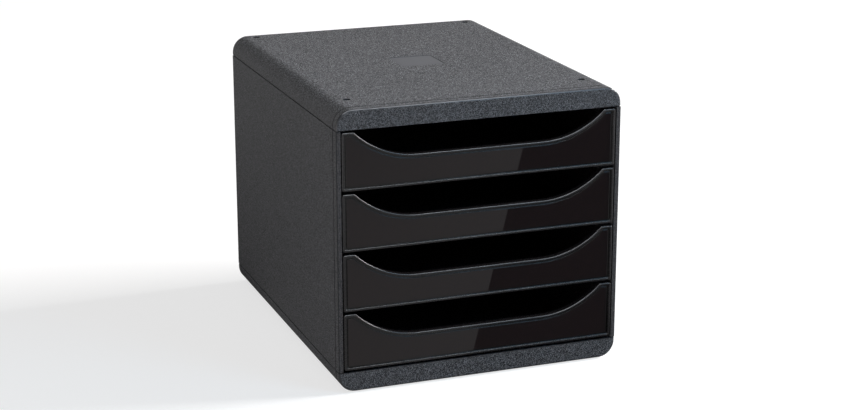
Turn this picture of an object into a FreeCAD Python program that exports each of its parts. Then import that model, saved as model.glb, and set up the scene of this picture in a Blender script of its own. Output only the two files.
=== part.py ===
import FreeCAD, Part
import os
from math import atan2, pi, sqrt
from types import SimpleNamespace

import Sketcher

# Closed desk cabinet for A4 papers with four drawers, in millimetres.
# Origin: centre of the footprint, at the level that the feet stand on.
# +Z is up, +X is to the right of the person who opens a drawer, and the fronts face -Y.

# Every size that can be set by itself. The sheet holds them, and all shapes are bound to it.
SIZES = {
    # the case as a whole
    "case_width": 278.0,
    "case_depth": 347.0,
    "cut_overrun": 2.0,
    # the two covers, which are the same moulding but for their marks
    "cover_height": 18.5,
    "cover_round": 16.0,
    "cover_wall": 2.6,
    "cover_lip": 3.0,
    "cover_front_round": 2.0,
    "cover_back_round": 1.2,
    "cover_rib_thickness": 1.6,
    "cover_rib_height": 5.0,
    "cover_rib_side_gap": 9.0,
    "cover_rib_spacing": 62.0,
    # the fine groove that runs round the case behind its front edge
    "groove_inset": 9.0,
    "groove_width": 1.3,
    "groove_depth": 1.0,
    # the marks on the top cover
    "dimple_diameter": 7.5,
    "dimple_depth": 1.4,
    "corner_mark_side_inset": 23.0,
    "corner_mark_front_inset": 39.5,
    "corner_mark_back_inset": 10.5,
    "plate_width": 44.0,
    "plate_length": 43.0,
    "plate_recess": 0.5,
    "plate_corner": 1.0,
    "plate_forward": 2.5,
    "mark_edge_round": 0.35,
    # the snap between a cover and a side panel
    "tongue_inset": 3.4,
    "tongue_thickness": 1.5,
    "tongue_height": 5.5,
    "shoulder_height": 5.0,
    "catch_length": 12.0,
    "catch_height": 1.6,
    "catch_base": 2.6,
    "catch_reach": 1.2,
    "catch_clearance": 0.3,
    "catch_spacing": 110.0,
    # the side panels
    "side_wall": 2.4,
    "front_return": 4.2,
    "back_return": 7.0,
    "shadow_gap": 1.0,
    "shadow_depth": 1.2,
    "side_front_round": 0.8,
    # the back panel and the slot that holds it
    "back_thickness": 2.3,
    "back_clearance": 0.1,
    "back_edge_gap": 0.4,
    "slot_rib": 1.6,
    "slot_reach": 6.0,
    # the runners moulded on the side panels
    "ledge_reach": 7.0,
    "ledge_thickness": 2.0,
    "guide_reach": 5.5,
    "guide_thickness": 1.8,
    "guide_clearance": 0.6,
    "seat_length": 10.0,
    "stop_height": 1.5,
    "pad_length": 10.0,
    "rest_clearance": 0.3,
    "runner_clearance": 0.8,
    "closing_clearance": 0.5,
    "stop_clearance": 0.5,
    "drawer_travel": 240.0,
    # the drawers
    "drawer_front_height": 53.9,
    "drawer_gap": 2.8,
    "end_gap": 2.4,
    "front_side_gap": 1.1,
    "front_block_depth": 8.0,
    "front_corner": 2.0,
    "horn_round": 1.5,
    "horn_flat": 10.86,
    "scoop_depth": 25.0,
    "scoop_radius": 87.0,
    "rim_width": 2.2,
    "rim_height": 0.9,
    "rim_outer_round": 0.8,
    "rim_inner_round": 0.4,
    "reveal_width": 1.7,
    "reveal_depth": 1.0,
    "reveal_round": 0.4,
    "panel_corner": 0.9,
    "panel_edge_round": 0.3,
    "scoop_back_round": 1.2,
    "panel_thickness": 2.2,
    "front_inner_wall": 2.0,
    "tray_wall": 2.0,
    "tray_floor": 2.0,
    "tray_drop": 8.6,
    "tray_edge_round": 0.6,
    "tray_back_round": 6.0,
    "tray_floor_round": 2.0,
    "lip_thickness": 2.0,
    # the push-in feet
    "foot_diameter": 7.0,
    "foot_height": 1.2,
    "foot_edge": 0.4,
    "foot_shank_diameter": 4.0,
    "foot_hole_clearance": 0.1,
    "foot_barb_diameter": 5.0,
    "foot_barb_height": 3.0,
    "foot_tip_diameter": 3.0,
}
DRAWER_COUNT = 4
COVER_CROSS_RIBS = 5
CATCHES_PER_SIDE = 3

# Two places this near are the same place.
SAME_PLACE = 0.001

doc = FreeCAD.newDocument("drawer_cabinet")
sheet = doc.addObject("Spreadsheet::Sheet", "Sizes")
for row, (alias, number) in enumerate(SIZES.items(), start=1):
    sheet.set(f"A{row}", alias)
    sheet.set(f"B{row}", str(number))
    sheet.setAlias(f"B{row}", alias)
doc.recompute()


class Size:
    """A length worked out from the sheet: its value, and the expression that binds it."""

    def __init__(self, value, text):
        self.value = value
        self.text = text

    def __add__(self, other):
        return Size(self.value + other.value, f"({self.text} + {other.text})")

    def __sub__(self, other):
        return Size(self.value - other.value, f"({self.text} - {other.text})")

    def __neg__(self):
        return Size(-self.value, f"(-1 * {self.text})")

    def __mul__(self, other):
        if isinstance(other, Size):
            return Size(self.value * other.value, f"({self.text} * {other.text})")
        return Size(self.value * other, f"({self.text} * {other})")

    def __truediv__(self, other):
        if isinstance(other, Size):
            return Size(self.value / other.value, f"({self.text} / {other.text})")
        return Size(self.value / other, f"({self.text} / {other})")

    def is_zero(self):
        return self.text == "0"


def third_side(longest, side):
    """The other short side of a right-angled triangle."""
    value = sqrt(longest.value ** 2 - side.value ** 2)
    return Size(value, f"sqrt({longest.text}^2 - {side.text}^2)")


ZERO = Size(0.0, "0")
S = SimpleNamespace(**{alias: Size(sheet.get(alias), f"Sizes.{alias}") for alias in SIZES})

# Places that several pieces share.
HALF_WIDTH = S.case_width / 2
FRONT = -(S.case_depth / 2)
BACK = S.case_depth / 2
DRAWER_PITCH = S.drawer_front_height + S.drawer_gap
OPENING_HEIGHT = DRAWER_PITCH * DRAWER_COUNT - S.drawer_gap + S.end_gap * 2
BASE_PARTING = S.foot_height + S.cover_height
TOP_PARTING = BASE_PARTING + OPENING_HEIGHT
DRAWER_HALF = HALF_WIDTH - S.front_return - S.front_side_gap
TRAY_HALF = HALF_WIDTH - S.side_wall - S.ledge_reach - S.runner_clearance
BLOCK_BACK = FRONT + S.front_block_depth
RUNNER_FRONT = BLOCK_BACK + S.closing_clearance
BACK_PANEL_BACK = BACK - S.cover_lip
SLOT_FRONT = BACK_PANEL_BACK - S.back_thickness - S.back_clearance * 2
RUNNER_BACK = SLOT_FRONT - S.slot_rib
DRAWER_BACK = RUNNER_BACK - S.closing_clearance
TRAY_HEIGHT = S.drawer_front_height - S.tray_drop
LIP_UNDERSIDE = TRAY_HEIGHT - S.lip_thickness
LEDGE_TOP = LIP_UNDERSIDE - S.stop_height - S.rest_clearance
SEAT_BACK = RUNNER_FRONT + S.seat_length
CORNER_MARKS = [
    (side, place)
    for place in (FRONT + S.corner_mark_front_inset, BACK - S.corner_mark_back_inset)
    for side in (-(HALF_WIDTH - S.corner_mark_side_inset), HALF_WIDTH - S.corner_mark_side_inset)
]

# Whether a sketch's normal on each origin plane points up (1) or down (-1) the axis square to it.
NORMAL_SIGN = {"XY_Plane": 1, "XZ_Plane": -1}


def bind(item, path, size):
    item.setExpression(path, size.text)


def origin_part(body, role):
    return next(part for part in body.Origin.OriginFeatures if part.Role == role)


def line_to(x, y):
    return SimpleNamespace(x=x, y=y, centre=None, radius=None, clockwise=False)


def arc_to(x, y, centre, radius, clockwise=False):
    return SimpleNamespace(x=x, y=y, centre=centre, radius=radius, clockwise=clockwise)


def tie_point(sketch, edge, position, x, y):
    """Holds a point of a sketch at a place that the sheet gives."""
    for kind, size, axis in (("DistanceX", x, -2), ("DistanceY", y, -1)):
        if size.is_zero():
            sketch.addConstraint(Sketcher.Constraint("PointOnObject", edge, position, axis))
            continue
        constraint = Sketcher.Constraint(kind, -1, 1, edge, position, size.value)
        number = sketch.addConstraint(constraint)
        bind(sketch, f"Constraints[{number}]", size)


def draw_outline(sketch, outline):
    """Draws a closed outline. Each step ends at its own corner and starts at the one before."""
    first = sketch.GeometryCount
    ends = []
    for number, step in enumerate(outline):
        before = outline[number - 1]
        start = FreeCAD.Vector(before.x.value, before.y.value, 0)
        end = FreeCAD.Vector(step.x.value, step.y.value, 0)
        if step.radius is None:
            sketch.addGeometry(Part.LineSegment(start, end), False)
            ends.append((1, 2))
            continue
        centre = FreeCAD.Vector(step.centre[0].value, step.centre[1].value, 0)
        circle = Part.Circle(centre, FreeCAD.Vector(0, 0, 1), step.radius.value)
        if step.clockwise:
            start, end = end, start
        angles = [atan2(point.y - centre.y, point.x - centre.x) for point in (start, end)]
        if angles[1] < angles[0]:
            angles[1] += 2 * pi
        sketch.addGeometry(Part.ArcOfCircle(circle, angles[0], angles[1]), False)
        ends.append((2, 1) if step.clockwise else (1, 2))
    for number, step in enumerate(outline):
        edge = first + number
        following = first + (number + 1) % len(outline)
        start_of_following = ends[(number + 1) % len(outline)][0]
        end_of_edge = ends[number][1]
        joint = Sketcher.Constraint("Coincident", edge, end_of_edge, following, start_of_following)
        sketch.addConstraint(joint)
        tie_point(sketch, edge, end_of_edge, step.x, step.y)
        if step.radius is not None:
            index = sketch.addConstraint(Sketcher.Constraint("Radius", edge, step.radius.value))
            bind(sketch, f"Constraints[{index}]", step.radius)


def draw_circle(sketch, x, y, radius):
    circle = Part.Circle(FreeCAD.Vector(x.value, y.value, 0), FreeCAD.Vector(0, 0, 1), radius.value)
    edge = sketch.addGeometry(circle, False)
    index = sketch.addConstraint(Sketcher.Constraint("Radius", edge, radius.value))
    bind(sketch, f"Constraints[{index}]", radius)
    tie_point(sketch, edge, 3, x, y)


def rectangle(left, right, low, high):
    return [line_to(left, low), line_to(right, low), line_to(right, high), line_to(left, high)]


def rounded_rectangle(left, right, low, high, radius):
    """A rectangle whose four corners are rounded alike, anticlockwise from its lower left."""
    return [
        line_to(right - radius, low),
        arc_to(right, low + radius, (right - radius, low + radius), radius),
        line_to(right, high - radius),
        arc_to(right - radius, high, (right - radius, high - radius), radius),
        line_to(left + radius, high),
        arc_to(left, high - radius, (left + radius, high - radius), radius),
        line_to(left, low + radius),
        arc_to(left + radius, low, (left + radius, low + radius), radius),
    ]


def add_sketch(body, name, plane, level, outlines, circles=()):
    """A sketch on one of the body's own planes, moved to a level along that plane's axis."""
    sketch = body.newObject("Sketcher::SketchObject", name)
    sketch.AttachmentSupport = [(origin_part(body, plane), "")]
    sketch.MapMode = "FlatFace"
    if not level.is_zero():
        bind(sketch, "AttachmentOffset.Base.z", level if NORMAL_SIGN[plane] > 0 else -level)
    for outline in outlines:
        draw_outline(sketch, outline)
    for circle in circles:
        draw_circle(sketch, *circle)
    return sketch


def extrude(body, kind, name, plane, low, high, outlines, circles=()):
    """Adds (Pad) or cuts (Pocket) the outlines between two levels along the plane's axis."""
    before = body.Tip.Shape.Volume if body.Tip else 0.0
    sketch = add_sketch(body, name + "_sketch", plane, low, outlines, circles)
    feature = body.newObject("PartDesign::" + kind, name)
    feature.Profile = sketch
    bind(feature, "Length", high - low)
    towards_normal = NORMAL_SIGN[plane] > 0
    feature.Reversed = towards_normal if kind == "Pocket" else not towards_normal
    doc.recompute()
    change = feature.Shape.Volume - before
    if (change > 0) != (kind == "Pad"):
        raise RuntimeError(f"{body.Label}: {name} points away from the solid")
    return feature


def pad(body, name, plane, low, high, outlines, circles=()):
    return extrude(body, "Pad", name, plane, low, high, outlines, circles)


def pocket(body, name, plane, low, high, outlines, circles=()):
    return extrude(body, "Pocket", name, plane, low, high, outlines, circles)


def round_edges(body, name, radius, wanted):
    """Rounds the given edges of the body as it stands."""
    base = body.Tip
    names = [
        f"Edge{number}"
        for number, edge in enumerate(base.Shape.Edges, start=1)
        if any(edge.isSame(other) for other in wanted)
    ]
    if not names:
        raise RuntimeError(f"{body.Label}: {name} finds no edge")
    feature = body.newObject("PartDesign::Fillet", name)
    feature.Base = (base, names)
    bind(feature, "Radius", radius)
    doc.recompute()
    return feature


def repeat_along(body, name, features, axis, step, count):
    """Repeats features at even steps along one of the body's axes."""
    feature = body.newObject("PartDesign::LinearPattern", name)
    feature.Originals = features
    feature.Direction = (origin_part(body, axis), [""])
    bind(feature, "Length", step * (count - 1))
    feature.Occurrences = count
    body.Tip = feature
    doc.recompute()
    return feature


def near(one, other):
    return abs(one - other) < SAME_PLACE


def at_level(edge, axis, size):
    """Whether the whole edge lies at one place along X, Y or Z."""
    box = edge.BoundBox
    low, high = {"x": (box.XMin, box.XMax), "y": (box.YMin, box.YMax), "z": (box.ZMin, box.ZMax)}[axis]
    return near(low, size.value) and near(high, size.value)


def new_body(name):
    body = doc.addObject("PartDesign::Body", name)
    body.Label = name
    return body


def cover_profile(inset, low):
    """The end view of a cover: flat on top, round at both sides, open or cut off at its foot."""
    half = HALF_WIDTH - inset
    radius = S.cover_round - inset
    top = S.cover_height - inset
    spring = top - radius
    return [
        line_to(half, low),
        line_to(half, spring),
        arc_to(half - radius, top, (half - radius, spring), radius),
        line_to(-(half - radius), top),
        arc_to(-half, spring, (-(half - radius), spring), radius),
        line_to(-half, low),
    ]


def build_cover(name):
    """A cover in its own frame: open underside at zero height, roof up, front at -Y."""
    body = new_body(name)
    pad(body, "shell", "XZ_Plane", FRONT, BACK, [cover_profile(ZERO, ZERO)])
    hollow = cover_profile(S.cover_wall, -S.cut_overrun)
    pocket(body, "hollow", "XZ_Plane", FRONT + S.cover_lip, BACK - S.cover_lip, [hollow])
    groove_front = FRONT + S.groove_inset
    ring = [
        cover_profile(-S.cut_overrun, -(S.cut_overrun * 2)),
        cover_profile(S.groove_depth, -S.cut_overrun),
    ]
    pocket(body, "groove", "XZ_Plane", groove_front, groove_front + S.groove_width, ring)

    roof = S.cover_height - S.cover_wall
    rib_low = roof - S.cover_rib_height
    rib_half = HALF_WIDTH - S.cover_rib_side_gap - S.cover_round
    first_rib = -(S.cover_rib_spacing * ((COVER_CROSS_RIBS - 1) / 2)) - S.cover_rib_thickness / 2
    cross_rib = pad(
        body, "cross_rib", "XY_Plane", rib_low, roof,
        [rectangle(-rib_half, rib_half, first_rib, first_rib + S.cover_rib_thickness)],
    )
    repeat_along(body, "cross_ribs", [cross_rib], "Y_Axis", S.cover_rib_spacing, COVER_CROSS_RIBS)
    pad(
        body, "slot_rib", "XY_Plane", ZERO, roof,
        [rectangle(-rib_half, rib_half, RUNNER_BACK, SLOT_FRONT)],
    )

    catch_high = S.catch_base + S.catch_height
    first_catch = -(S.catch_spacing * ((CATCHES_PER_SIDE - 1) / 2)) - S.catch_length / 2
    catch_root = HALF_WIDTH - S.cover_wall / 2
    catch_tip = HALF_WIDTH - S.tongue_inset - S.catch_reach
    catch = pad(
        body, "catch", "XY_Plane", S.catch_base, catch_high,
        [
            rectangle(catch_tip, catch_root, first_catch, first_catch + S.catch_length),
            rectangle(-catch_root, -catch_tip, first_catch, first_catch + S.catch_length),
        ],
    )
    repeat_along(body, "catches", [catch], "Y_Axis", S.catch_spacing, CATCHES_PER_SIDE)

    for feature, level, radius in (
        ("front_round", FRONT, S.cover_front_round),
        ("back_round", BACK, S.cover_back_round),
    ):
        rim = [
            edge for edge in body.Tip.Shape.Edges
            if at_level(edge, "y", level) and not at_level(edge, "z", ZERO)
        ]
        round_edges(body, feature, radius, rim)
    return body


def build_top_cover():
    body = build_cover("top_cover")
    top = S.cover_height
    dimples = [(x, y, S.dimple_diameter / 2) for x, y in CORNER_MARKS]
    pocket(body, "dimples", "XY_Plane", top - S.dimple_depth, top + S.cut_overrun, [], dimples)
    middle = -S.plate_forward
    plate = rounded_rectangle(
        -(S.plate_width / 2), S.plate_width / 2,
        middle - S.plate_length / 2, middle + S.plate_length / 2, S.plate_corner,
    )
    pocket(body, "plate", "XY_Plane", top - S.plate_recess, top + S.cut_overrun, [plate])
    mark_edges = [
        edge for face in body.Tip.Shape.Faces if at_level(face, "z", top)
        for wire in face.Wires if not wire.isSame(face.OuterWire) for edge in wire.Edges
    ]
    round_edges(body, "mark_edges", S.mark_edge_round, mark_edges)
    bind(body, "Placement.Base.z", TOP_PARTING)
    return body


def build_base_cover():
    """The cover turned over about its long axis, with a hole for each foot."""
    body = build_cover("base_cover")
    hole_radius = S.foot_shank_diameter / 2 + S.foot_hole_clearance
    holes = [(x, y, hole_radius) for x, y in CORNER_MARKS]
    roof = S.cover_height - S.cover_wall
    pocket(body, "foot_holes", "XY_Plane", roof - S.cut_overrun, S.cover_height + S.cut_overrun, [], holes)
    half_turn = FreeCAD.Rotation(FreeCAD.Vector(0, 1, 0), 180)
    body.Placement = FreeCAD.Placement(FreeCAD.Vector(0, 0, BASE_PARTING.value), half_turn)
    bind(body, "Placement.Base.z", BASE_PARTING)
    return body


def build_side_panel(name, outward):
    """A side panel, its foot at zero height. Outward is -1 on the left and 1 on the right."""
    body = new_body(name)

    def across(near_skin, deeper):
        """Left and right ends of a stretch that is given as two depths behind the outer skin."""
        ends = [(HALF_WIDTH - near_skin) * outward, (HALF_WIDTH - deeper) * outward]
        return sorted(ends, key=lambda size: size.value)

    def block(kind, feature, near_skin, deeper, front, back, low, high):
        left, right = across(near_skin, deeper)
        outline = rectangle(left, right, front, back)
        return extrude(body, kind, feature, "XY_Plane", low, high, [outline])

    high = OPENING_HEIGHT
    tongue_end = S.tongue_inset + S.tongue_thickness
    tongue_front = FRONT + S.cover_lip + S.catch_clearance
    tongue_back = RUNNER_BACK - S.catch_clearance
    block("Pad", "skin", ZERO, S.side_wall, FRONT, BACK, ZERO, high)
    block("Pad", "front_return", ZERO, S.front_return, FRONT, FRONT + S.cover_lip, ZERO, high)
    block("Pad", "back_return", ZERO, S.back_return, BACK_PANEL_BACK, BACK, ZERO, high)
    block("Pad", "slot_rib", ZERO, S.back_return, RUNNER_BACK, SLOT_FRONT, ZERO, high)
    shoulder_front = FRONT + S.cover_lip
    for feature, low, top in (
        ("low_shoulder", ZERO, S.shoulder_height),
        ("high_shoulder", high - S.shoulder_height, high),
    ):
        block("Pad", feature, ZERO, tongue_end, shoulder_front, RUNNER_BACK, low, top)
    block(
        "Pad", "tongues", S.tongue_inset, tongue_end, tongue_front, tongue_back,
        -S.tongue_height, high + S.tongue_height,
    )

    catch_middle = S.catch_base + S.catch_height / 2
    window_half = S.catch_height / 2 + S.catch_clearance
    window_first = -(S.catch_spacing * ((CATCHES_PER_SIDE - 1) / 2))
    window_front = window_first - S.catch_length / 2 - S.catch_clearance
    window_back = window_first + S.catch_length / 2 + S.catch_clearance
    windows = [
        block(
            "Pocket", feature, ZERO, tongue_end + S.cut_overrun, window_front, window_back,
            middle - window_half, middle + window_half,
        )
        for feature, middle in (("low_window", -catch_middle), ("high_window", high + catch_middle))
    ]
    repeat_along(body, "windows", windows, "Y_Axis", S.catch_spacing, CATCHES_PER_SIDE)

    lowest = S.end_gap
    ledge_end = S.side_wall + S.ledge_reach
    guide_low = lowest + TRAY_HEIGHT + S.guide_clearance
    ledge = block(
        "Pad", "ledge", ZERO, ledge_end, RUNNER_FRONT, RUNNER_BACK,
        lowest + LEDGE_TOP - S.ledge_thickness, lowest + LEDGE_TOP,
    )
    guide = block(
        "Pad", "guide", ZERO, S.side_wall + S.guide_reach, RUNNER_FRONT, RUNNER_BACK,
        guide_low, guide_low + S.guide_thickness,
    )
    seat = block(
        "Pad", "seat", ZERO, ledge_end, RUNNER_FRONT, SEAT_BACK,
        lowest + LEDGE_TOP, lowest + LEDGE_TOP + S.stop_height,
    )
    repeat_along(body, "runners", [ledge, guide, seat], "Z_Axis", DRAWER_PITCH, DRAWER_COUNT)

    groove_front = FRONT + S.groove_inset
    block(
        "Pocket", "groove", -S.cut_overrun, S.groove_depth, groove_front,
        groove_front + S.groove_width, -S.cut_overrun, high + S.cut_overrun,
    )
    corner = [
        edge for edge in body.Tip.Shape.Edges
        if at_level(edge, "y", FRONT) and at_level(edge, "x", HALF_WIDTH * outward)
    ]
    round_edges(body, "front_round", S.side_front_round, corner)
    for feature, low, top in (
        ("low_gap", -S.cut_overrun, S.shadow_gap),
        ("high_gap", high - S.shadow_gap, high + S.cut_overrun),
    ):
        block(
            "Pocket", feature + "_side", -S.cut_overrun, S.shadow_depth,
            FRONT - S.cut_overrun, BACK + S.cut_overrun, low, top,
        )
        block(
            "Pocket", feature + "_front", -S.cut_overrun, S.front_return + S.cut_overrun,
            FRONT - S.cut_overrun, FRONT + S.shadow_depth, low, top,
        )
    bind(body, "Placement.Base.z", BASE_PARTING)
    return body


def build_back_panel():
    """The panel that closes the back. Its tabs reach into both covers."""
    body = new_body("back_panel")
    half = HALF_WIDTH - S.side_wall - S.back_edge_gap
    tab_half = HALF_WIDTH - S.cover_rib_side_gap - S.cover_round
    front = BACK_PANEL_BACK - S.back_clearance - S.back_thickness
    high = OPENING_HEIGHT
    outline = [
        line_to(-half, ZERO),
        line_to(-tab_half, ZERO),
        line_to(-tab_half, -S.slot_reach),
        line_to(tab_half, -S.slot_reach),
        line_to(tab_half, ZERO),
        line_to(half, ZERO),
        line_to(half, high),
        line_to(tab_half, high),
        line_to(tab_half, high + S.slot_reach),
        line_to(-tab_half, high + S.slot_reach),
        line_to(-tab_half, high),
        line_to(-half, high),
    ]
    pad(body, "panel", "XZ_Plane", front, front + S.back_thickness, [outline])
    bind(body, "Placement.Base.z", BASE_PARTING)
    return body


def front_outline(inset, low, corner, horn):
    """A drawer's front seen from the front, drawn in by an inset, with its finger scoop.

    The scoop is a flat with a round rise at each end, and each horn beside it has a round tip.
    """
    half = DRAWER_HALF - inset
    high = S.drawer_front_height - inset
    rise = S.scoop_radius + inset
    outer_reach = third_side(
        S.scoop_radius + S.horn_round, S.scoop_radius - S.scoop_depth + S.horn_round
    )
    centre_x = DRAWER_HALF - S.horn_flat - outer_reach
    centre_z = S.drawer_front_height - S.scoop_depth + S.scoop_radius
    floor = centre_z - rise
    tip_z = high - horn
    tip_x = centre_x + third_side(rise + horn, centre_z - tip_z)
    touch_x = centre_x + (tip_x - centre_x) * rise / (rise + horn)
    touch_z = centre_z - (centre_z - tip_z) * rise / (rise + horn)
    return [
        line_to(half - corner, low),
        arc_to(half, low + corner, (half - corner, low + corner), corner),
        line_to(half, high - corner),
        arc_to(half - corner, high, (half - corner, high - corner), corner),
        line_to(tip_x, high),
        arc_to(touch_x, touch_z, (tip_x, tip_z), horn),
        arc_to(centre_x, floor, (centre_x, centre_z), rise, clockwise=True),
        line_to(-centre_x, floor),
        arc_to(-touch_x, touch_z, (-centre_x, centre_z), rise, clockwise=True),
        arc_to(-tip_x, high, (-tip_x, tip_z), horn),
        line_to(-(half - corner), high),
        arc_to(-half, high - corner, (-(half - corner), high - corner), corner),
        line_to(-half, low + corner),
        arc_to(-(half - corner), low, (-(half - corner), low + corner), corner),
    ]


def tray_outline(half, front, back, radius):
    """A tray seen from above: square at the front, with its two back corners rounded."""
    return [
        line_to(half, front),
        line_to(half, back - radius),
        arc_to(half - radius, back, (half - radius, back - radius), radius),
        line_to(-(half - radius), back),
        arc_to(-half, back - radius, (-(half - radius), back - radius), radius),
        line_to(-half, front),
    ]


def face_at(shape, axis, size):
    """The flat face that lies at one place along X, Y or Z."""
    return next(face for face in shape.Faces if at_level(face, axis, size))


def build_drawer(number):
    """One drawer in its own frame, its underside at zero height. Number 1 is the top one."""
    body = new_body(f"drawer_{number}")
    rim_back = FRONT + S.rim_height
    panel_back = rim_back + S.panel_thickness
    inner_wall_front = BLOCK_BACK - S.front_inner_wall

    # The front is a double wall, open below: a raised rim, a dark reveal and a glossy panel.
    block_outline = front_outline(ZERO, ZERO, S.front_corner, S.horn_round)
    pad(body, "front_block", "XZ_Plane", FRONT, BLOCK_BACK, [block_outline])
    back_face = face_at(body.Tip.Shape, "y", BLOCK_BACK)
    round_edges(body, "back_round", S.scoop_back_round, back_face.Edges)
    front_face = face_at(body.Tip.Shape, "y", FRONT)
    round_edges(body, "rim_outside", S.rim_outer_round, front_face.Edges)
    recess_outline = front_outline(S.rim_width, S.rim_width, S.panel_corner, S.panel_corner)
    pocket(body, "panel_recess", "XZ_Plane", FRONT - S.cut_overrun, rim_back, [recess_outline])
    panel_inset = S.rim_width + S.reveal_width
    panel_outline = front_outline(panel_inset, panel_inset, S.panel_corner, S.panel_corner)
    reveal_back = rim_back + S.reveal_depth
    pocket(body, "reveal", "XZ_Plane", rim_back, reveal_back, [recess_outline, panel_outline])
    reveal_floor = face_at(body.Tip.Shape, "y", reveal_back)
    round_edges(body, "reveal_foot", S.reveal_round, reveal_floor.Edges)
    panel_face = face_at(body.Tip.Shape, "y", rim_back)
    round_edges(body, "panel_edge", S.panel_edge_round, panel_face.Edges)
    rim_face = face_at(body.Tip.Shape, "y", FRONT)
    inner_edges = [
        edge for wire in rim_face.Wires if not wire.isSame(rim_face.OuterWire) for edge in wire.Edges
    ]
    round_edges(body, "rim_inside", S.rim_inner_round, inner_edges)
    hollow_outline = front_outline(S.panel_thickness, -S.cut_overrun, S.panel_corner, S.panel_corner)
    pocket(body, "front_hollow", "XZ_Plane", panel_back, inner_wall_front, [hollow_outline])

    # The tray hangs by two lips that run in the case, each with a pad under it that stops it.
    tray = tray_outline(TRAY_HALF, BLOCK_BACK, DRAWER_BACK, S.tray_back_round)
    pad(body, "tray", "XY_Plane", ZERO, TRAY_HEIGHT, [tray])
    floor_root = rectangle(-TRAY_HALF, TRAY_HALF, inner_wall_front, BLOCK_BACK + S.tray_wall)
    pad(body, "floor_root", "XY_Plane", ZERO, S.tray_floor, [floor_root])
    lip_back = DRAWER_BACK - S.tray_back_round
    lips = [
        rectangle(-DRAWER_HALF, -TRAY_HALF, LIP_UNDERSIDE, TRAY_HEIGHT),
        rectangle(TRAY_HALF, DRAWER_HALF, LIP_UNDERSIDE, TRAY_HEIGHT),
    ]
    pad(body, "lips", "XZ_Plane", inner_wall_front, lip_back, lips)
    pad_front = SEAT_BACK + S.drawer_travel + S.stop_clearance
    pads = [
        rectangle(-DRAWER_HALF, -TRAY_HALF, LIP_UNDERSIDE - S.stop_height, LIP_UNDERSIDE),
        rectangle(TRAY_HALF, DRAWER_HALF, LIP_UNDERSIDE - S.stop_height, LIP_UNDERSIDE),
    ]
    pad(body, "stop_pads", "XZ_Plane", pad_front, pad_front + S.pad_length, pads)
    inside = tray_outline(
        TRAY_HALF - S.tray_wall, BLOCK_BACK, DRAWER_BACK - S.tray_wall, S.tray_back_round - S.tray_wall
    )
    pocket(body, "inside", "XY_Plane", S.tray_floor, TRAY_HEIGHT + S.cut_overrun, [inside])
    floor_face = face_at(body.Tip.Shape, "z", S.tray_floor)
    round_edges(body, "floor_round", S.tray_floor_round, floor_face.Edges)
    inner_half = TRAY_HALF - S.tray_wall
    tray_edges = [
        edge for edge in body.Tip.Shape.Edges
        if at_level(edge, "z", TRAY_HEIGHT)
        and (at_level(edge, "x", inner_half) or at_level(edge, "x", -inner_half))
    ]
    round_edges(body, "tray_edge", S.tray_edge_round, tray_edges)

    height = BASE_PARTING + S.end_gap + DRAWER_PITCH * (DRAWER_COUNT - number)
    bind(body, "Placement.Base.z", height)
    return body


def build_foot(name, x, y):
    """A push-in foot in its own frame: its shoulder meets the base's underside at zero height."""
    body = new_body(name)
    head = S.foot_diameter / 2
    shank = S.foot_shank_diameter / 2
    edge_level = S.foot_edge - S.foot_height
    barb_top = S.cover_wall + S.foot_barb_height
    outline = [
        line_to(head - S.foot_edge, -S.foot_height),
        arc_to(head, edge_level, (head - S.foot_edge, edge_level), S.foot_edge),
        line_to(head, ZERO),
        line_to(shank, ZERO),
        line_to(shank, S.cover_wall),
        line_to(S.foot_barb_diameter / 2, S.cover_wall),
        line_to(S.foot_tip_diameter / 2, barb_top),
        line_to(ZERO, barb_top),
        line_to(ZERO, -S.foot_height),
    ]
    profile = add_sketch(body, "profile", "XZ_Plane", ZERO, [outline])
    feature = body.newObject("PartDesign::Revolution", "turned_foot")
    feature.Profile = profile
    feature.ReferenceAxis = (profile, ["V_Axis"])
    doc.recompute()
    bind(body, "Placement.Base.x", x)
    bind(body, "Placement.Base.y", y)
    bind(body, "Placement.Base.z", S.foot_height)
    return body


FOOT_NAMES = ["foot_front_left", "foot_front_right", "foot_back_left", "foot_back_right"]
pieces = [
    build_top_cover(),
    build_base_cover(),
    build_side_panel("left_side_panel", -1),
    build_side_panel("right_side_panel", 1),
    build_back_panel(),
]
pieces += [build_drawer(number) for number in range(1, DRAWER_COUNT + 1)]
pieces += [build_foot(name, x, y) for name, (x, y) in zip(FOOT_NAMES, CORNER_MARKS)]
doc.recompute()

for item in doc.Objects:
    if "Invalid" in item.State or "Error" in item.State:
        raise RuntimeError(f"{item.Label} is {item.State}")
for piece in pieces:
    if piece.Shape.isNull() or not piece.Shape.isValid() or len(piece.Shape.Solids) != 1:
        raise RuntimeError(f"{piece.Label} has a shape that can't be used")

os.makedirs("parts", exist_ok=True)
for piece in pieces:
    piece.Shape.exportStep(f"parts/{piece.Label}.step")
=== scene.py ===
import math

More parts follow.
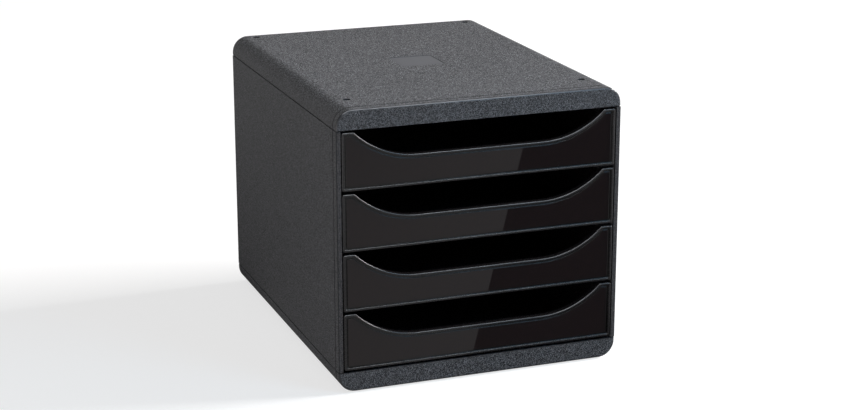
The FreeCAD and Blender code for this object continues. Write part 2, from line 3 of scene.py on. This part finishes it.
import bpy
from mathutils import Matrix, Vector


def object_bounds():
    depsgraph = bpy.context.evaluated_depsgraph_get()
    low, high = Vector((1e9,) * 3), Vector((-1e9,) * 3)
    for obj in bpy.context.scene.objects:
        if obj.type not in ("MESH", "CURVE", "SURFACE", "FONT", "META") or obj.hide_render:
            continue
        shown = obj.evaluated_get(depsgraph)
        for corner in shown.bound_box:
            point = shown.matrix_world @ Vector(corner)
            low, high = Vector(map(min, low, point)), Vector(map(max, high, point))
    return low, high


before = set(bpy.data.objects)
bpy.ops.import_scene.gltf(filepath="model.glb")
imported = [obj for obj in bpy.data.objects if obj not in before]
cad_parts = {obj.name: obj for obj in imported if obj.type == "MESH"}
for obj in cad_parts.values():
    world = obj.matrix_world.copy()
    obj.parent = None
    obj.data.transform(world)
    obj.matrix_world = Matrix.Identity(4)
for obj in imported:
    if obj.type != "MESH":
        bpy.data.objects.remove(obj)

# Looks of a closed desk cabinet with four drawers, in metres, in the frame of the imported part:
# +Z is up, the fronts face -Y, and the origin is the middle of the footprint on the floor.
MM = 0.001
CAD_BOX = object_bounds()
DRAWERS = ["drawer_1", "drawer_2", "drawer_3", "drawer_4"]
CASING = ["top_cover", "base_cover", "left_side_panel", "right_side_panel", "back_panel"]
FEET = ["foot_front_left", "foot_front_right", "foot_back_left", "foot_back_right"]

# Sizes that the looks share with the part.
RIM_HEIGHT = 0.9 * MM
REVEAL_DEPTH = 1.0 * MM
FRONT_ROUND = 2.0 * MM
SIDE_FRONT_ROUND = 0.8 * MM
PLATE_RECESS = 0.5 * MM
DIMPLE_DEPTH = 1.4 * MM
TOP_MARKS_HALF_WIDTH = 121.0 * MM
GROOVE_INSET = 9.0 * MM
GROOVE_WIDTH = 1.3 * MM
SIDE_PANEL_FOOT = 19.7 * MM
SIDE_PANEL_TOP = 248.5 * MM
SHADOW_GAP = 1.0 * MM

# How soft the masks' edges are, and how far a mask reaches past the face that it picks out.
SHARP = 0.05 * MM
MARGIN = 0.1 * MM
REVEAL_BLUR = 0.03 * MM
# The part of the top, away from its own round edges, where the marks lie.
MARKS_BEHIND_FRONT = 20.0 * MM
MARKS_BEFORE_BACK = 5.0 * MM

# Masks that pick out faces by the way they turn. Each pair is where one part of the face's normal
# makes the mask zero, and where it makes it one.
UP = (0.985, 0.995)
NOT_UP = (0.97, 0.93)
MOSTLY_UP = (0.5, 0.9)
NOT_TO_FRONT = (-0.985, -0.95)
MOSTLY_TO_FRONT = (-0.5, -0.9)
PANEL_TO_FRONT = (-0.6, -0.8)
REVEAL_TO_FRONT = (-0.10, -0.20)

# How wide the patches of each surface's pattern are, and how deep its relief is.
GRAIN_SIZE = 0.5 * MM
GRAIN_RELIEF = 0.3 * MM
SPECK_SIZE = 0.45 * MM
CLOUD_SIZE = 60.0 * MM
SATIN_GRAIN_SIZE = 0.7 * MM
SATIN_RELIEF = 0.02 * MM
GLOSS_PATCH_SIZE = 25.0 * MM
RUBBER_GRAIN_SIZE = 0.4 * MM
RUBBER_RELIEF = 0.02 * MM

# The range where most values of a noise lie.
NOISE_RANGE = (0.3, 0.7)
# The casing's grain is twice as long from front to back as it is wide.
GRAIN_SQUEEZE = (1.0, 0.5, 1.0)
# Where a cell's value starts to show as a speck, and where the speck is at its palest.
CALM_SPECKS = (0.2, 1.0)
# Fewer, paler specks on the covers' faces that point up or to the front: painted glints.
PAINTED_GLINT_SPECKS = (0.45, 1.0)
# How much of the specks' pale colour the smooth marks and the plate take, all over.
MARK_SHARE = 0.27
PLATE_SHARE = 0.37

# Colours, as linear red, green and blue.
CASING_DARK = (0.003, 0.003, 0.004)
CASING_LESS_DARK = (0.007, 0.007, 0.008)
SIDE_SPECK = (0.116, 0.114, 0.122)
# Darker, warmer specks for the side panels' front faces: painted shade.
STRIP_PAINTED_SHADE_SPECK = (0.095, 0.082, 0.082)
# Paler specks for the covers' faces that point up or to the front: painted glints.
COVER_PAINTED_GLINT_SPECK = (0.194, 0.191, 0.204)
TRAY_BLACK = (0.011, 0.009, 0.0095)
PANEL_BLACK = (0.0104, 0.0056, 0.0059)
# Near-black for the drawers' reveal: painted shade.
REVEAL_PAINTED_SHADE = (0.002, 0.002, 0.002)
RUBBER_DARK = (0.016, 0.016, 0.016)
RUBBER_LESS_DARK = (0.026, 0.026, 0.026)
FLOOR_GREY = (0.36, 0.36, 0.36)
WHITE = (1.0, 1.0, 1.0)
WARM = (1.0, 0.98, 0.97)
LILAC = (1.0, 0.98, 1.0)
COOL = (0.90, 0.95, 1.0)
BLUE = (0.38, 0.70, 1.0)

# Roughness, from 0 for a mirror to 1 for chalk. A pair is the two ends of a surface's pattern.
GRAIN_ROUGHNESS = (0.80, 0.66)
PLATE_ROUGHNESS = 0.85
LIP_ROUGHNESS = 0.3
EDGE_ROUGHNESS = 0.16
SATIN_ROUGHNESS = (0.30, 0.22)
GLOSS_ROUGHNESS = (0.010, 0.022)
REVEAL_ROUGHNESS = 0.12
RUBBER_ROUGHNESS = (0.75, 0.6)
CASING_SPECULAR = 0.3
DRAWER_SPECULAR = 0.5


# Materials

def new_material(name):
    material = bpy.data.materials.new(name)
    material.use_nodes = True
    tree = material.node_tree
    return material, tree, tree.nodes["Principled BSDF"]


def add_node(tree, kind, **settings):
    node = tree.nodes.new("ShaderNode" + kind)
    for name, value in settings.items():
        setattr(node, name, value)
    return node


def math_node(tree, operation, first, second):
    node = add_node(tree, "Math", operation=operation)
    for socket, value in zip(node.inputs, (first, second)):
        if isinstance(value, bpy.types.NodeSocket):
            tree.links.new(value, socket)
        else:
            socket.default_value = value
    return node.outputs[0]


def ramp(tree, value, low, high, to_low=0.0, to_high=1.0):
    """A smooth step of value from low to high."""
    node = add_node(tree, "MapRange", interpolation_type="SMOOTHSTEP")
    tree.links.new(value, node.inputs["Value"])
    node.inputs["From Min"].default_value = low
    node.inputs["From Max"].default_value = high
    node.inputs["To Min"].default_value = to_low
    node.inputs["To Max"].default_value = to_high
    return node.outputs["Result"]


def noise(tree, place, size, detail=2.0):
    """A noise whose patches are about as wide as size."""
    node = add_node(tree, "TexNoise")
    tree.links.new(place, node.inputs["Vector"])
    node.inputs["Scale"].default_value = 1 / size
    node.inputs["Detail"].default_value = detail
    return node.outputs["Fac"]


def spread(tree, pattern, to_low=0.0, to_high=1.0):
    """A noise that is stretched to fill the range from to_low to to_high."""
    return ramp(tree, pattern, *NOISE_RANGE, to_low, to_high)


def speckle(tree, place, size):
    """An even value for each of many small cells about as wide as size."""
    node = add_node(tree, "TexVoronoi")
    tree.links.new(place, node.inputs["Vector"])
    node.inputs["Scale"].default_value = 1 / size
    split = add_node(tree, "SeparateColor")
    tree.links.new(node.outputs["Color"], split.inputs["Color"])
    return split.outputs["Red"]


def mix_values(tree, share, first, second):
    node = add_node(tree, "Mix", data_type="FLOAT")
    sockets = (node.inputs["Factor"], node.inputs["A"], node.inputs["B"])
    for socket, value in zip(sockets, (share, first, second)):
        if isinstance(value, bpy.types.NodeSocket):
            tree.links.new(value, socket)
        else:
            socket.default_value = value
    return node.outputs["Result"]


def mix_colors(tree, share, first, second):
    node = add_node(tree, "Mix", data_type="RGBA")
    tree.links.new(share, node.inputs["Factor"])
    for socket, color in ((node.inputs["A"], first), (node.inputs["B"], second)):
        if isinstance(color, bpy.types.NodeSocket):
            tree.links.new(color, socket)
        else:
            socket.default_value = (*color, 1.0)
    return node.outputs["Result"]


def bump(tree, height, distance):
    node = add_node(tree, "Bump")
    tree.links.new(height, node.inputs["Height"])
    node.inputs["Distance"].default_value = distance
    return node.outputs["Normal"]


def place_and_facing(tree):
    """The place on the part and the way that the surface faces there, each split into X, Y and Z."""
    place = add_node(tree, "TexCoord").outputs["Object"]
    parts = []
    for vector in (place, add_node(tree, "NewGeometry").outputs["Normal"]):
        split = add_node(tree, "SeparateXYZ")
        tree.links.new(vector, split.inputs["Vector"])
        parts.append(split.outputs)
    return place, parts[0], parts[1]


def band(tree, value, low, high, blur):
    """One between low and high and zero outside, with edges as soft as blur."""
    above_low = ramp(tree, value, low - blur, low + blur)
    below_high = ramp(tree, value, high + blur, high - blur)
    return math_node(tree, "MULTIPLY", above_low, below_high)


def all_of(tree, *masks):
    """The product of two or more masks."""
    product = masks[0]
    for mask in masks[1:]:
        product = math_node(tree, "MULTIPLY", product, mask)
    return product


def any_of(tree, *masks):
    """The largest of two or more masks."""
    largest = masks[0]
    for mask in masks[1:]:
        largest = math_node(tree, "MAXIMUM", largest, mask)
    return largest


def all_but(tree, mask):
    """One where the mask is zero."""
    return math_node(tree, "SUBTRACT", 1.0, mask)


def casing_masks(tree, at, facing):
    """Masks of the casing's panels, edges, marks and seams, by name.

    Smooth holds the covers' round front edges and the marks on top. Dark holds the groove, the
    seams, the side panels' front corners and the floors of the dimples, which are coloured with
    painted shade, as these hollows and edges lie in shade.
    """
    behind_front = math_node(tree, "SUBTRACT", at["Y"], CAD_BOX[0].y)
    below_top = math_node(tree, "SUBTRACT", CAD_BOX[1].z, at["Z"])
    beside = band(tree, at["Z"], SIDE_PANEL_FOOT, SIDE_PANEL_TOP, SHARP)
    on_cover = all_but(tree, beside)
    # The seams between the covers and the side panels get painted shade.
    between_seams = band(tree, at["Z"], SIDE_PANEL_FOOT + SHADOW_GAP, SIDE_PANEL_TOP - SHADOW_GAP, SHARP)
    seam = math_node(tree, "SUBTRACT", beside, between_seams)
    turned_away = ramp(tree, facing["Y"], *NOT_TO_FRONT)
    near_front = ramp(tree, behind_front, FRONT_ROUND + 2 * MARGIN, FRONT_ROUND - 2 * MARGIN)
    edge = all_of(tree, near_front, turned_away, on_cover)
    # The side panels' front corners get a painted shade line.
    at_corner = ramp(tree, behind_front, SIDE_FRONT_ROUND + MARGIN, SIDE_FRONT_ROUND)
    corner = all_of(tree, at_corner, turned_away, beside)
    level = ramp(tree, facing["Z"], *UP)
    at_plate = band(tree, below_top, PLATE_RECESS - MARGIN, PLATE_RECESS + MARGIN, SHARP)
    plate = all_of(tree, at_plate, level)
    # The dimples' floors get painted shade.
    at_dimple = band(tree, below_top, DIMPLE_DEPTH - MARGIN, DIMPLE_DEPTH + MARGIN, SHARP)
    dimple = all_of(tree, at_dimple, level)
    marks_front = CAD_BOX[0].y + MARKS_BEHIND_FRONT
    marks_back = CAD_BOX[1].y - MARKS_BEFORE_BACK
    lips = all_of(
        tree,
        band(tree, at["X"], -TOP_MARKS_HALF_WIDTH, TOP_MARKS_HALF_WIDTH, SHARP),
        band(tree, at["Y"], marks_front, marks_back, SHARP),
        ramp(tree, below_top, DIMPLE_DEPTH + 2 * MARGIN, DIMPLE_DEPTH + MARGIN),
        ramp(tree, facing["Z"], *NOT_UP),
    )
    # The groove gets painted shade.
    groove_front = GROOVE_INSET - MARGIN
    groove_back = GROOVE_INSET + GROOVE_WIDTH + MARGIN
    groove = band(tree, behind_front, groove_front, groove_back, SHARP)
    return {
        "beside": beside,
        "on_cover": on_cover,
        "edge": edge,
        "plate": plate,
        "lips": lips,
        "smooth": any_of(tree, edge, plate, lips),
        # Dark: painted shade in the groove, the seams, the side corners and the dimple floors.
        "dark": any_of(tree, groove, seam, corner, dimple),
    }


def casing_material():
    """Moulded plastic with a spark-eroded grain, dark grey with a fine pale speckle.

    The faces that point up or to the front on the covers have fewer and paler specks than the
    rest: painted glints, where the light catches the grain.
    """
    material, tree, shader = new_material("grained_casing")
    place, at, facing = place_and_facing(tree)
    masks = casing_masks(tree, at, facing)
    longer = add_node(tree, "VectorMath", operation="MULTIPLY")
    tree.links.new(place, longer.inputs[0])
    longer.inputs[1].default_value = GRAIN_SQUEEZE
    grain = noise(tree, longer.outputs["Vector"], GRAIN_SIZE, detail=1.0)
    cloud = spread(tree, noise(tree, place, CLOUD_SIZE))
    base = mix_colors(tree, cloud, CASING_DARK, CASING_LESS_DARK)

    to_front = ramp(tree, facing["Y"], *MOSTLY_TO_FRONT)
    upward = ramp(tree, facing["Z"], *MOSTLY_UP)
    # Painted glints: the faces that point up or to the front on the covers get fewer, paler specks.
    painted_glint_faces = any_of(tree, upward, all_of(tree, to_front, masks["on_cover"]))
    cell = speckle(tree, longer.outputs["Vector"], SPECK_SIZE)
    speck = mix_values(tree, painted_glint_faces, ramp(tree, cell, *CALM_SPECKS), ramp(tree, cell, *PAINTED_GLINT_SPECKS))
    speck = mix_values(tree, masks["smooth"], speck, MARK_SHARE)
    speck = mix_values(tree, masks["plate"], speck, PLATE_SHARE)
    # Painted shade: no specks in the groove, the seams, the side corners and the dimple floors, so they take
    # the darkest tone.
    speck = mix_values(tree, masks["dark"], speck, 0.0)
    # Painted shade: the side panels' front faces take darker, warmer specks.
    painted_shade_strip = all_of(tree, to_front, masks["beside"])
    pale = mix_colors(tree, painted_shade_strip, SIDE_SPECK, STRIP_PAINTED_SHADE_SPECK)
    pale = mix_colors(tree, painted_glint_faces, pale, COVER_PAINTED_GLINT_SPECK)
    tree.links.new(mix_colors(tree, speck, base, pale), shader.inputs["Base Color"])

    rough = spread(tree, grain, *GRAIN_ROUGHNESS)
    rough = mix_values(tree, masks["plate"], rough, PLATE_ROUGHNESS)
    rough = mix_values(tree, masks["lips"], rough, LIP_ROUGHNESS)
    rough = mix_values(tree, masks["edge"], rough, EDGE_ROUGHNESS)
    tree.links.new(rough, shader.inputs["Roughness"])
    height = all_of(tree, grain, all_but(tree, masks["smooth"]))
    tree.links.new(bump(tree, height, GRAIN_RELIEF), shader.inputs["Normal"])
    shader.inputs["Specular IOR Level"].default_value = CASING_SPECULAR
    return material


def drawer_material():
    """Black drawer: a mirror-smooth front panel in a dull reveal with painted shade, a satin rim and a satin
    tray.
    """
    material, tree, shader = new_material("gloss_and_satin_drawer")
    place, at, facing = place_and_facing(tree)
    depth = math_node(tree, "SUBTRACT", at["Y"], CAD_BOX[0].y)
    reveal_front = RIM_HEIGHT + SHARP
    reveal_back = RIM_HEIGHT + REVEAL_DEPTH + 2 * MARGIN
    in_reveal = band(tree, depth, reveal_front, reveal_back, REVEAL_BLUR)
    reveal = all_of(tree, in_reveal, ramp(tree, facing["Y"], *REVEAL_TO_FRONT))
    behind_rim = band(tree, depth, RIM_HEIGHT - 2 * MARGIN, RIM_HEIGHT + 4 * MARGIN, MARGIN)
    to_front = ramp(tree, facing["Y"], *PANEL_TO_FRONT)
    panel = all_of(tree, behind_rim, to_front, all_but(tree, reveal))
    color = mix_colors(tree, panel, TRAY_BLACK, PANEL_BLACK)
    # Painted shade: the reveal round the front panel is coloured near-black.
    color = mix_colors(tree, reveal, color, REVEAL_PAINTED_SHADE)
    tree.links.new(color, shader.inputs["Base Color"])
    grain = noise(tree, place, SATIN_GRAIN_SIZE)
    satin = spread(tree, grain, *SATIN_ROUGHNESS)
    gloss = spread(tree, noise(tree, place, GLOSS_PATCH_SIZE), *GLOSS_ROUGHNESS)
    rough = mix_values(tree, panel, satin, gloss)
    rough = mix_values(tree, reveal, rough, REVEAL_ROUGHNESS)
    tree.links.new(rough, shader.inputs["Roughness"])
    height = all_of(tree, grain, all_but(tree, panel))
    tree.links.new(bump(tree, height, SATIN_RELIEF), shader.inputs["Normal"])
    shader.inputs["Specular IOR Level"].default_value = DRAWER_SPECULAR
    return material


def rubber_material():
    material, tree, shader = new_material("black_rubber_foot")
    place = add_node(tree, "TexCoord").outputs["Object"]
    grain = noise(tree, place, RUBBER_GRAIN_SIZE)
    tone = mix_colors(tree, grain, RUBBER_DARK, RUBBER_LESS_DARK)
    tree.links.new(tone, shader.inputs["Base Color"])
    tree.links.new(spread(tree, grain, *RUBBER_ROUGHNESS), shader.inputs["Roughness"])
    tree.links.new(bump(tree, grain, RUBBER_RELIEF), shader.inputs["Normal"])
    return material


def dress(names, material):
    for name in names:
        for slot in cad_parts[name].material_slots:
            slot.material = material


dress(CASING, casing_material())
dress(DRAWERS, drawer_material())
dress(FEET, rubber_material())


# Stage: a pale floor, a soft world, and what the glossy fronts mirror

FLOOR_HALF = 12.0
FLOOR_DROP = 0.1 * MM
# How bright the floor looks by itself, beside what the lights add.
FLOOR_GLOW = 0.70
# The world's light on the part, and how bright its walls and ceiling look in the part's mirrors.
# The heights are parts of the direction towards them, from 0 level to 1 straight up.
AMBIENT = 0.17
WALL_GLOW = 1.0
CEILING_GLOW = 0.25
WALL_TOP = 0.15
CEILING_START = 0.6
# The table card's half size, a point on its straight edge and the way that the edge runs.
CARD_HALF = 6.0
CARD_EDGE = Vector((-0.085, -0.03, 0.0005))
CARD_EDGE_RUN = Vector((0.506, -1.0, 0.0))
# How bright the table card is all over, and how much the lit side gains: near the edge, and at the
# end of its fall. Distances from the edge are below zero on the lit side.
# The table card's glow is painted light, seen only in mirrors.
CARD_DIM = 0.09
CARD_LIT_NEAR = 0.38
CARD_LIT_FAR = 0.26
CARD_FALL_END = -0.40
# What the card gains far out on each side: where that starts, where it is full, and how much it is.
CARD_FAR_RIGHT = (0.16, 0.24)
CARD_FAR_RIGHT_GAIN = 1.6
CARD_FAR_LEFT = (-0.40, -0.55)
CARD_FAR_LEFT_GAIN = 0.6
# The top card's middle, its reach along X and Y, and its brightness.
TOP_CARD_MIDDLE = Vector((-0.2, -0.85, 2.0))
TOP_CARD_REACH_X = Vector((1.1, 0.0, 0.0))
TOP_CARD_REACH_Y = Vector((0.0, 0.4, 0.0))
TOP_CARD_GLOW = 18.0


def sheet_mesh(name, middle, first_reach, second_reach):
    """A flat rectangle of the stage, which reaches as far each way from its middle."""
    corners = [
        middle - first_reach - second_reach,
        middle + first_reach - second_reach,
        middle + first_reach + second_reach,
        middle - first_reach + second_reach,
    ]
    mesh = bpy.data.meshes.new(name)
    mesh.from_pydata(corners, [], [tuple(range(len(corners)))])
    piece = bpy.data.objects.new(name, mesh)
    bpy.context.scene.collection.objects.link(piece)
    return piece


def emission_material(name):
    """A material that only shines."""
    material, tree, shader = new_material(name)
    tree.nodes.remove(shader)
    emission = add_node(tree, "Emission")
    tree.links.new(emission.outputs["Emission"], tree.nodes["Material Output"].inputs["Surface"])
    return material, tree, emission


def show_in_mirrors_only(card):
    card.visible_camera = False
    card.visible_diffuse = False
    card.visible_shadow = False
    card.visible_transmission = False


def make_floor():
    """A pale floor just under the feet, which can't be seen from below."""
    middle = Vector((0.0, 0.0, -FLOOR_DROP))
    floor = sheet_mesh("floor", middle, Vector((FLOOR_HALF, 0.0, 0.0)), Vector((0.0, FLOOR_HALF, 0.0)))
    material, tree, shader = new_material("pale_floor")
    shader.inputs["Base Color"].default_value = (*FLOOR_GREY, 1.0)
    shader.inputs["Roughness"].default_value = 1.0
    shader.inputs["Specular IOR Level"].default_value = 0.0
    rays = add_node(tree, "LightPath")
    seen = any_of(
        tree,
        rays.outputs["Is Camera Ray"],
        rays.outputs["Is Glossy Ray"],
        rays.outputs["Is Transmission Ray"],
    )
    lift = add_node(tree, "Emission")
    tree.links.new(math_node(tree, "MULTIPLY", seen, FLOOR_GLOW), lift.inputs["Strength"])
    lit = add_node(tree, "AddShader")
    tree.links.new(shader.outputs["BSDF"], lit.inputs[0])
    tree.links.new(lift.outputs["Emission"], lit.inputs[1])
    one_sided = add_node(tree, "MixShader")
    tree.links.new(add_node(tree, "NewGeometry").outputs["Backfacing"], one_sided.inputs["Fac"])
    tree.links.new(lit.outputs["Shader"], one_sided.inputs[1])
    tree.links.new(add_node(tree, "BsdfTransparent").outputs["BSDF"], one_sided.inputs[2])
    tree.links.new(one_sided.outputs["Shader"], tree.nodes["Material Output"].inputs["Surface"])
    floor.data.materials.append(material)


def make_world():
    """A white room that lights the part faintly and looks dimmer overhead in its mirrors."""
    world = bpy.data.worlds.new("soft_white_room")
    world.use_nodes = True
    bpy.context.scene.world = world
    tree = world.node_tree
    background = tree.nodes["Background"]
    background.inputs["Color"].default_value = (*WHITE, 1.0)
    rays = add_node(tree, "LightPath")
    seen = any_of(tree, rays.outputs["Is Camera Ray"], rays.outputs["Is Transmission Ray"])
    split = add_node(tree, "SeparateXYZ")
    tree.links.new(add_node(tree, "TexCoord").outputs["Generated"], split.inputs["Vector"])
    walls = ramp(tree, split.outputs["Z"], WALL_TOP, CEILING_START, WALL_GLOW, CEILING_GLOW)
    mirrored = math_node(tree, "MULTIPLY", rays.outputs["Is Glossy Ray"], walls)
    strength = math_node(tree, "MAXIMUM", any_of(tree, seen, mirrored), AMBIENT)
    tree.links.new(strength, background.inputs["Strength"])


def make_table_card():
    """A card that lies on the floor before the cabinet, whose one straight edge the fronts mirror.

    Its glow is a painted pool of light that falls off away from the edge, as a lit table does, so
    the fronts show a painted reflection. It is brighter far out on both sides, where only the rims
    mirror it, and dark beneath the cabinet as painted shadow.
    """
    along = CARD_EDGE_RUN.normalized()
    across = Vector((-along.y, along.x, 0.0))
    card = sheet_mesh("table_card", CARD_EDGE, along * CARD_HALF, across * CARD_HALF)
    material, tree, emission = emission_material("table_card")
    place = add_node(tree, "TexCoord").outputs["Object"]
    moved = add_node(tree, "VectorMath", operation="SUBTRACT")
    tree.links.new(place, moved.inputs[0])
    moved.inputs[1].default_value = CARD_EDGE
    turned = add_node(tree, "VectorMath", operation="DOT_PRODUCT")
    tree.links.new(moved.outputs["Vector"], turned.inputs[0])
    turned.inputs[1].default_value = across
    away = turned.outputs["Value"]
    on_lit_side = math_node(tree, "LESS_THAN", away, 0.0)
    fall = ramp(tree, away, CARD_FALL_END, 0.0, CARD_LIT_FAR, CARD_LIT_NEAR)
    glow = math_node(tree, "ADD", math_node(tree, "MULTIPLY", on_lit_side, fall), CARD_DIM)
    glow = math_node(tree, "ADD", glow, ramp(tree, away, *CARD_FAR_RIGHT, 0.0, CARD_FAR_RIGHT_GAIN))
    glow = math_node(tree, "ADD", glow, ramp(tree, away, *CARD_FAR_LEFT, 0.0, CARD_FAR_LEFT_GAIN))
    split = add_node(tree, "SeparateXYZ")
    tree.links.new(place, split.inputs["Vector"])
    beneath = all_of(
        tree,
        band(tree, split.outputs["X"], CAD_BOX[0].x, CAD_BOX[1].x, MM),
        band(tree, split.outputs["Y"], CAD_BOX[0].y, CAD_BOX[1].y, MM),
    )
    # Painted shadow: the card is dark beneath the cabinet.
    glow = mix_values(tree, beneath, glow, 0.0)
    tree.links.new(glow, emission.inputs["Strength"])
    card.data.materials.append(material)
    show_in_mirrors_only(card)


def make_top_card():
    """A long bright card high before the cabinet that its smooth edges mirror."""
    card = sheet_mesh("top_card", TOP_CARD_MIDDLE, TOP_CARD_REACH_Y, TOP_CARD_REACH_X)
    material, tree, emission = emission_material("top_card")
    emission.inputs["Color"].default_value = (*COOL, 1.0)
    emission.inputs["Strength"].default_value = TOP_CARD_GLOW
    card.data.materials.append(material)
    show_in_mirrors_only(card)


def add_area_light(name, place, size, power, color):
    """A light that faces the middle of the cabinet."""
    data = bpy.data.lights.new(name, "AREA")
    data.shape = "RECTANGLE"
    data.size, data.size_y = size
    data.energy = power
    data.color = color
    light = bpy.data.objects.new(name, data)
    bpy.context.scene.collection.objects.link(light)
    light.location = place
    towards = (CAD_BOX[0] + CAD_BOX[1]) / 2 - Vector(place)
    light.rotation_euler = towards.to_track_quat("-Z", "Y").to_euler()
    return light


make_floor()
make_world()
make_table_card()
make_top_card()
add_area_light("right_softbox", place=(4.5, -0.45, 2.6), size=(1.8, 1.8), power=510, color=WARM)
left_softbox = add_area_light(
    "left_softbox", place=(-0.7, -0.38, 0.12), size=(0.5, 0.3), power=0.85, color=LILAC
)
add_area_light("back_softbox", place=(-0.7, 2.4, 0.3), size=(1.2, 0.8), power=1.5, color=LILAC)
add_area_light("front_softbox", place=(1.5, -1.7, 1.1), size=(1.2, 1.2), power=8, color=BLUE)
near_softbox = add_area_light(
    "near_softbox", place=(0.5, -0.95, 0.75), size=(0.4, 0.4), power=2.6, color=BLUE
)
# These two stand near the cabinet, so they are kept out of the picture.
left_softbox.visible_camera = False
near_softbox.visible_camera = False


# Camera, at the viewing angle of the photograph
YAW = math.radians(20.57)
PITCH = math.radians(16.48)
camera_data = bpy.data.cameras.new("camera")
camera_data.lens = 81.95
camera_data.sensor_width = 36.0
camera = bpy.data.objects.new("camera", camera_data)
camera.location = (-0.6464, -1.7538, 0.6717)
camera.rotation_euler = (math.pi / 2 - PITCH, 0.0, -YAW)
bpy.context.scene.collection.objects.link(camera)
bpy.context.scene.camera = camera
bpy.context.scene.view_settings.view_transform = "Standard"
